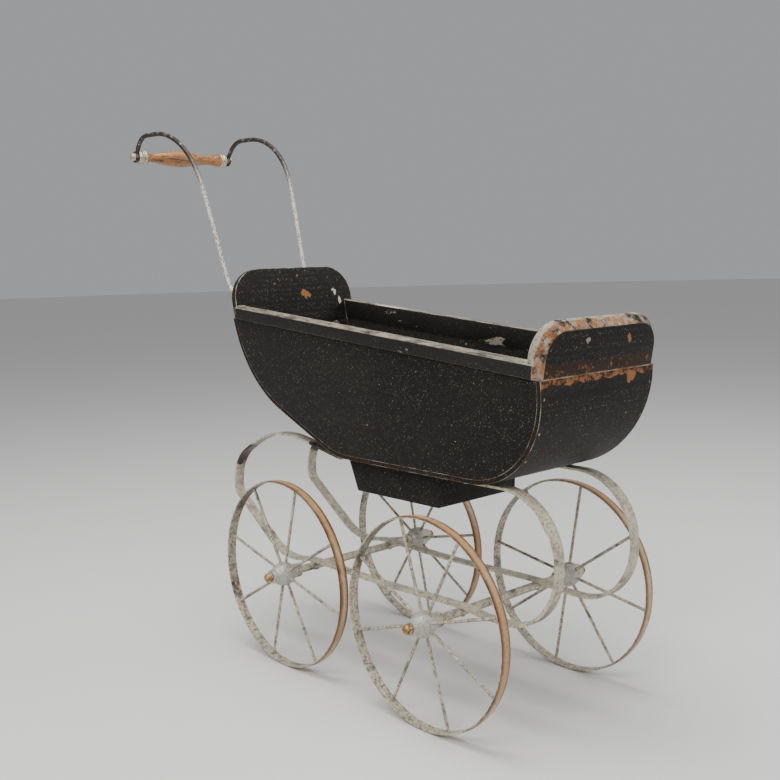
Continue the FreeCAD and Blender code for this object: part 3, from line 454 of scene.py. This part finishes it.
def rounded_copy(node, name, round_edge, segments, materials):
    """A copy of a CAD node's mesh whose sharp edges are rounded over."""
    source = bmesh.new()
    source.from_mesh(frame["nodes"][node].data)
    bmesh.ops.remove_doubles(source, verts=source.verts, dist=1e-6)
    bmesh.ops.dissolve_limit(source, angle_limit=math.radians(0.6), verts=source.verts, edges=source.edges)
    mesh = bpy.data.meshes.new(name)
    source.to_mesh(mesh)
    source.free()
    mesh.materials.clear()
    piece = linked(name, mesh, materials)
    bevel = piece.modifiers.new("Rounded edges", "BEVEL")
    bevel.width = round_edge
    bevel.segments = segments
    bevel.limit_method = "ANGLE"
    bevel.angle_limit = SHARP_ANGLE
    bevel.use_clamp_overlap = True
    bpy.context.view_layer.update()
    solid = bpy.data.meshes.new_from_object(piece.evaluated_get(bpy.context.evaluated_depsgraph_get()))
    piece.modifiers.clear()
    piece.data = solid
    solid.polygons.foreach_set("use_smooth", [True] * len(solid.polygons))
    solid.set_sharp_from_angle(angle=SHARP_ANGLE)
    return piece


def body_of(node):
    """The rigid body that a CAD node belongs to."""
    bodies = frame["record"]["behaviour"]["bodies"]
    return next(body for body, nodes in bodies.items() if node in nodes)


def stand_for(piece, node):
    """A piece takes a CAD node's place: it replaces it and rides on its body."""
    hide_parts(node)
    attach(piece, body_of(node))
    return piece


def worn(node, material, round_edge=1.0 * MM, segments=2):
    """Replaces a CAD node with a copy whose edges are rounded."""
    return stand_for(rounded_copy(node, f"{node}_worn", round_edge, segments, [material]), node)


def smooth_profile(corners, steps):
    """Points on a smooth curve through (distance, radius) corners."""
    points = [Vector(corner) for corner in corners]
    padded = [points[0]] + points + [points[-1]]
    curve = []
    for before, start, end, after in zip(padded, padded[1:], padded[2:], padded[3:]):
        for i in range(steps):
            t = i / steps
            curve.append(0.5 * ((2 * start) + (end - before) * t
                                + (2 * before - 5 * start + 4 * end - after) * t ** 2
                                + (3 * start - before - 3 * end + after) * t ** 3))
    return curve + [points[-1]]


def turned(name, profile, centre, facing, materials, segments=48):
    """A closed lathe-turned solid about Y: profile is (distance, radius) from centre towards facing."""
    shape = bmesh.new()
    rings = []
    for distance, radius in profile:
        spots = [centre + Vector((radius * math.cos(angle), facing * distance, radius * math.sin(angle)))
                 for angle in (2 * math.pi * i / segments for i in range(segments))]
        rings.append([shape.verts.new(spot) for spot in spots])
    for low, high in zip(rings, rings[1:]):
        for i in range(segments):
            shape.faces.new((low[i], low[(i + 1) % segments], high[(i + 1) % segments], high[i]))
    shape.faces.new(reversed(rings[0]))
    shape.faces.new(rings[-1])
    bmesh.ops.recalc_face_normals(shape, faces=shape.faces)
    mesh = bpy.data.meshes.new(name)
    shape.to_mesh(mesh)
    shape.free()
    return linked(name, mesh, materials)


def hoop(name, centre, outline, materials, outer_material, segments=192):
    """A ring about Y swept from a closed outline of (distance, radius) corners.

    Faces turned away from the axle get the second material."""
    shape = bmesh.new()
    rings = []
    for i in range(segments):
        angle = 2 * math.pi * i / segments
        ray = Vector((math.cos(angle), 0, math.sin(angle)))
        spots = [centre + ray * radius + Vector((0, distance, 0)) for distance, radius in outline]
        rings.append([shape.verts.new(spot) for spot in spots])
    count = len(outline)
    for i in range(segments):
        near, far = rings[i], rings[(i + 1) % segments]
        for j in range(count):
            face = shape.faces.new((near[j], near[(j + 1) % count], far[(j + 1) % count], far[j]))
            face.material_index = 1 if outer_material(j) else 0
    bmesh.ops.recalc_face_normals(shape, faces=shape.faces)
    mesh = bpy.data.meshes.new(name)
    shape.to_mesh(mesh)
    shape.free()
    half_width = max(distance for distance, _ in outline)
    rim = mesh.attributes.new("rim", "FLOAT", "POINT")
    rim.data.foreach_set("value", [abs(vertex.co.y - centre.y) / half_width for vertex in mesh.vertices])
    return linked(name, mesh, materials)


# ----------------------------------------------------------------------------- the tub

BELLY_NODES = ("belly_rear", "belly_floor", "belly_front")


def welded_belly(name, materials):
    """The three lengths of the belly sheet as one piece, without the faces where they meet."""
    joints = (lowest("belly_floor").x, highest("belly_floor").x)
    shape = bmesh.new()
    for node in BELLY_NODES:
        shape.from_mesh(frame["nodes"][node].data)
    seams = [face for face in shape.faces
             if any(all(abs(vertex.co.x - joint) < 1e-5 for vertex in face.verts) for joint in joints)]
    bmesh.ops.delete(shape, geom=seams, context="FACES")
    bmesh.ops.remove_doubles(shape, verts=shape.verts, dist=2e-5)
    mesh = bpy.data.meshes.new(name)
    shape.to_mesh(mesh)
    shape.free()
    piece = linked(name, mesh, materials)
    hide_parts(*BELLY_NODES)
    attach(piece, body_of("belly_floor"))
    return piece


def head_chips():
    """Chips in the head board's inner face: a large orange one near the middle, two pale ones beside it."""
    face, top = highest("head_board").x, highest("head_board").z
    return [
        ((face - 9 * MM, 16 * MM, top - 34 * MM), (20 * MM, 8.5 * MM, 4.5 * MM), RUST_ORANGE),
        ((face - 9 * MM, 64 * MM, top - 32 * MM), (20 * MM, 3.6 * MM, 4.6 * MM), PALE_PAINT),
        ((face - 9 * MM, 71 * MM, top - 44 * MM), (20 * MM, 3.0 * MM, 6.0 * MM), PALE_PAINT),
    ]


def foot_chips(ledge):
    """Chips in the foot board's outer face above the worn ledge."""
    face = highest("foot_board").x
    return [
        ((face - 3 * MM, 40 * MM, ledge + 30 * MM), (20 * MM, 4.0 * MM, 3.2 * MM), RUST_ORANGE),
        ((face - 3 * MM, -25 * MM, ledge + 32 * MM), (20 * MM, 3.6 * MM, 3.2 * MM), WORN_BEIGE),
    ]


def tub():
    """Panels, rails, end boards, belly, well and the small wooden parts."""
    ledge = highest("belly_front").z
    chip_place = (highest("belly_front").x, 50 * MM, ledge - 9 * MM)
    belly_chip = [(chip_place, (20 * MM, 8 * MM, 6 * MM), RUST_ORANGE)]
    panel = black_paint("panel_paint", 0.9 * MM, 0.3)
    head = black_paint("head_board_paint", 2.0 * MM, 0.66, head_chips(), pale_slope=0.12)
    foot = black_paint("foot_board_paint", 2.4 * MM, 0.78, foot_chips(ledge),
                       [(lowest("foot_board").z, ledge + 13 * MM, BAND_BROWN)], pale_slope=0.36)
    belly = black_paint("belly_paint", 1.1 * MM, 0.68, belly_chip,
                        [(ledge - 7 * MM, ledge + 9 * MM, BAND_BROWN)])
    inside = black_paint("well_paint", 1.5 * MM, 0.6)
    rail = rail_paint("rail_paint")
    for side in SIDES:
        worn(f"side_panel_{side}", panel, 0.7 * MM)
        worn(f"rail_{side}", rail, 0.7 * MM, 2)
        worn(f"well_side_{side}", inside, 0.8 * MM)
        worn(f"packing_block_{side}", inside, 0.8 * MM)
    worn("head_board", head, 1.6 * MM, 3)
    worn("foot_board", foot, 1.6 * MM, 3)
    welded_belly("belly_sheet_worn", [belly])
    for node in ("well_floor", "well_rear", "well_front", "front_cleat"):
        worn(node, inside, 0.8 * MM)


# ----------------------------------------------------------------------------- springs and wheels

def springs(cream):
    """The two C-scroll straps between the axles and the tub."""
    for side in SIDES:
        node = f"spring_strap_{side}"
        strap = rounded_copy(node, f"{node}_worn", 1.1 * MM, 3, [cream])
        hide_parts(node)
        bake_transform(strap)


def tyre_outline(half_width, inner, outer):
    """Section of a tyre: flat inside, gently crowned outside, with rounded rims."""
    crown = 0.9 * MM
    steps = 8
    outside = []
    for i in range(steps + 1):
        share = -1 + 2 * i / steps
        outside.append((share * half_width, outer - crown * share ** 2))
    inside = [(half_width - 0.5 * MM, inner), (-half_width + 0.5 * MM, inner)]
    return outside + inside


def wheel(corner, cream, tread, grey, nut_brass):
    """A crowned tyre, its spokes, a domed cast hub, the collar behind it and the cap nut."""
    facing = SIDES[corner.split("_")[1]]
    low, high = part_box(f"tyre_{corner}")
    centre = (low + high) / 2
    outer, half_width = (high.x - low.x) / 2, (high.y - low.y) / 2
    outline = tyre_outline(half_width, outer - 2.2 * MM, outer)
    tyre = hoop(f"tyre_{corner}_crowned", centre, outline, [cream, tread], lambda j: j < len(outline) - 3)
    stand_for(tyre, f"tyre_{corner}")
    worn(f"spokes_{corner}", cream, 0.2 * MM, 1)
    hub_profile = [(-15, 7.4), (-14.4, 8.2), (-9, 8.8), (-6, 12.2), (-2, 13.5), (3, 13.4), (7, 12.4),
                   (11, 10.4), (14, 8.6), (17.5, 8.2), (18.6, 7.6), (19, 6.2)]
    profile = smooth_profile([(d * MM, r * MM) for d, r in hub_profile], 3)
    stand_for(turned(f"hub_{corner}_cast", profile, centre, facing, [grey]), f"hub_{corner}")
    nut_low, nut_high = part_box(f"axle_nut_{corner}")
    length = nut_high.y - nut_low.y
    nut_start = centre.copy()
    nut_start.y = nut_low.y if facing > 0 else nut_high.y
    nut_profile = [(0, 5.2), (0.12, 5.6), (0.4, 5.6), (0.5, 5.0), (0.62, 5.2), (0.84, 4.0), (0.97, 2.0),
                   (1.0, 0.4)]
    profile = smooth_profile([(share * length, r * MM) for share, r in nut_profile], 3)
    stand_for(turned(f"axle_nut_{corner}_cap", profile, nut_start, facing, [nut_brass]), f"axle_nut_{corner}")
    worn(f"axle_collar_{corner}", cream, 0.8 * MM)


def undercarriage():
    """Springs, axles, rivets and wheels."""
    cream = cream_iron("cream_iron")
    strap_low, strap_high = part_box("spring_strap_left")
    back = (strap_low.x, 0, strap_high.z - 34 * MM)
    block = middle("packing_block_left")
    # the first patch is dark brown paint on the back of the scroll; the second is painted shade, darkening the
    # strap where it runs under the tub beside the packing block
    spring_cream = cream_iron("spring_cream_iron", 0.42, 0.45, [
        (back, (60 * MM, 300 * MM, 20 * MM), BAND_BROWN),
        ((block.x, 0, block.z), (40 * MM, 300 * MM, 12 * MM), DEEP_BLACK_AND_SHADE)])
    springs(spring_cream)
    tread, grey, nut_brass = tread_iron("tread_iron"), galvanised("hub_iron"), brass("nut_brass")
    for end in ("front", "rear"):
        worn(f"axle_{end}", spring_cream, 0.4 * MM)
        worn(f"axle_rivets_{end}", spring_cream, 0.3 * MM)
    for corner in CORNERS:
        wheel(corner, cream, tread, grey, nut_brass)


# ----------------------------------------------------------------------------- handle

def handle():
    """The irons, the grip rod, the turned grip, its ringed ferrules and the end knobs."""
    iron, plating = handle_metal("handle_metal"), worn_plating("worn_plating")
    for side in SIDES:
        worn(f"handle_iron_{side}", iron, 0.7 * MM)
    worn("grip_rod", iron, 0.4 * MM)
    low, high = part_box("grip_wood")
    length = high.y - low.y
    start = Vector((middle("grip_wood").x, low.y, middle("grip_wood").z))
    grip_profile = [(0, 8.0), (0.02, 7.6), (0.06, 5.9), (0.12, 6.4), (0.24, 9.2), (0.36, 10.7), (0.48, 11.0),
                    (0.6, 10.0), (0.7, 7.8), (0.79, 6.4), (0.88, 6.9), (0.96, 8.6), (1.0, 8.8)]
    profile = smooth_profile([(share * length, r * MM) for share, r in grip_profile], 6)
    wood = varnished_wood("varnished_wood")
    stand_for(turned("grip_wood_turned", profile, start, 1, [wood], 64), "grip_wood")
    for side, facing in SIDES.items():
        ringed(f"grip_ferrule_{side}", facing, plating,
               [(0, 8.0), (0.06, 9.4), (0.2, 9.8), (0.32, 9.3), (0.36, 8.2), (0.4, 8.3), (0.5, 9.2), (0.6, 9.2),
                (0.66, 8.0), (0.7, 7.7), (0.8, 8.0), (0.9, 7.4), (1.0, 6.6)])
        ringed(f"grip_knob_{side}", facing, plating,
               [(0, 4.6), (0.08, 5.4), (0.2, 5.6), (0.32, 5.0), (0.4, 4.4), (0.55, 4.9), (0.75, 4.4),
                (0.93, 2.4), (1.0, 0.4)])


def ringed(node, facing, material, shares):
    """A turned ring or knob in place of a CAD node: shares are (share of its length, radius in mm)."""
    low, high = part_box(node)
    length = high.y - low.y
    start = middle(node)
    start.y = low.y if facing > 0 else high.y
    profile = smooth_profile([(share * length, radius * MM) for share, radius in shares], 4)
    return stand_for(turned(f"{node}_turned", profile, start, facing, [material]), node)


def fasteners():
    """Screws, bolts, nuts and tacks."""
    steel = dull_steel("dull_steel")
    for node in ("spring_screws", "handle_bolts", "handle_nuts", "belly_tacks"):
        worn(node, steel, 0.15 * MM, 1)


# ----------------------------------------------------------------------------- studio

CAMERA_OFFSET = Vector((0.86847, -0.82513, 0.4784))
CAMERA_TURN = math.radians(47.976)
CAMERA_TILT = math.radians(7.300)
CAMERA_ROLL = math.radians(-1.520)
LENS = 49.5
FLOOR_RADIUS = 14.0


def camera():
    """A camera at the viewing angle of the reference."""
    data = bpy.data.cameras.new("camera")
    data.lens = LENS
    data.sensor_width = 36.0
    viewer = bpy.data.objects.new("camera", data)
    bpy.context.scene.collection.objects.link(viewer)
    level = math.cos(CAMERA_TILT)
    back = Vector((math.sin(CAMERA_TURN) * level, -math.cos(CAMERA_TURN) * level, math.sin(CAMERA_TILT)))
    right = Vector((math.cos(CAMERA_TURN), math.sin(CAMERA_TURN), 0))
    up = back.cross(right)
    rolled_right = right * math.cos(CAMERA_ROLL) + up * math.sin(CAMERA_ROLL)
    rolled_up = up * math.cos(CAMERA_ROLL) - right * math.sin(CAMERA_ROLL)
    turn = Matrix((rolled_right, rolled_up, back)).transposed().to_4x4()
    mid_wheelbase = Vector(((middle("axle_front").x + middle("axle_rear").x) / 2, 0, 0))
    viewer.matrix_world = Matrix.Translation(mid_wheelbase + CAMERA_OFFSET) @ turn
    bpy.context.scene.camera = viewer


def soft_light(name, place, width, power, aim=Vector((0.05, 0, 0.25))):
    """A large square area light that points at the carriage."""
    data = bpy.data.lights.new(name, "AREA")
    data.size = width
    data.energy = power
    lamp = bpy.data.objects.new(name, data)
    bpy.context.scene.collection.objects.link(lamp)
    lamp.location = place
    lamp.rotation_euler = (aim - Vector(place)).to_track_quat("-Z", "Y").to_euler()


def studio():
    """A pale floor, an even pale surround and three soft lights."""
    bpy.ops.mesh.primitive_circle_add(vertices=96, radius=FLOOR_RADIUS, fill_type="NGON")
    floor = bpy.context.object
    floor.name = "floor"
    graph = Graph("floor_paint")
    tone = graph.mix(graph.math("MULTIPLY", graph.noise(3.0, 3.0), 0.06), FLOOR_PALE, IRON_GREY)
    floor.data.materials.append(graph.finish(tone, 0.55, graph.noise(60.0, 3.0), 0.0002, 0.2))
    world = bpy.data.worlds.new("studio")
    world.use_nodes = True
    world.node_tree.nodes["Background"].inputs[0].default_value = (0.86, 0.87, 0.9, 1)
    world.node_tree.nodes["Background"].inputs[1].default_value = 0.42
    bpy.context.scene.world = world
    soft_light("overhead", (0.1, -0.2, 1.9), 1.2, 34)
    soft_light("key", (0.9, -1.5, 1.7), 0.9, 26)
    soft_light("far_side", (1.3, 1.4, 1.2), 1.2, 12)


tub()
undercarriage()
handle()
fasteners()
studio()
camera()
